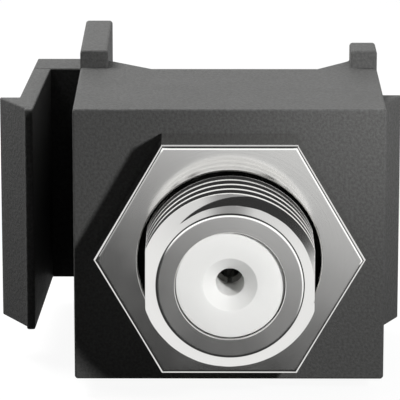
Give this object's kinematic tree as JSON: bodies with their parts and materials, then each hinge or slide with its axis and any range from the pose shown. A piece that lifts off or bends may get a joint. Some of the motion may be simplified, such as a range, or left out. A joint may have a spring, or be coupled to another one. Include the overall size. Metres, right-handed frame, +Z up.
{
  "type": "keystone coaxial coupler module",
  "caption": "Snap-in wall port insert with spring latch, holding a double-ended screw-on coaxial coupler and its hexagonal nut.",
  "frame": {"origin": "on the coupler's axis, in the plane of the insert's front face", "axes": "-Y points out of the front of the wall port, +X towards the fixed catch lug, +Z up with the insert lying on its side"},
  "size_m": [0.0217, 0.0275, 0.0164],
  "materials": {
    "moulded_black": "fine matt grain",
    "nut_nickel": "satin nickel plate",
    "coupler_nickel": "bright nickel plate",
    "white_insulator": "smooth white moulding",
    "contact_metal": "thin bright plate over spring bronze"
  },
  "bodies": {
    "insert": {"housing": "moulded_black", "hex_nut": "nut_nickel", "coupler_body": "coupler_nickel", "front_insulator": "white_insulator", "rear_insulator": "white_insulator", "centre_contact": "contact_metal"},
    "latch": {"latch_arm": "moulded_black"}
  },
  "joints": [
    {"name": "latch_flex", "type": "hinge", "parent": "insert", "child": "latch", "pos_m": [-0.00997, 0.0159, 0], "axis": [0, 0, 1], "range_deg": [0, 12], "stiffness_Nm_per_rad": 0.2}
  ]
}
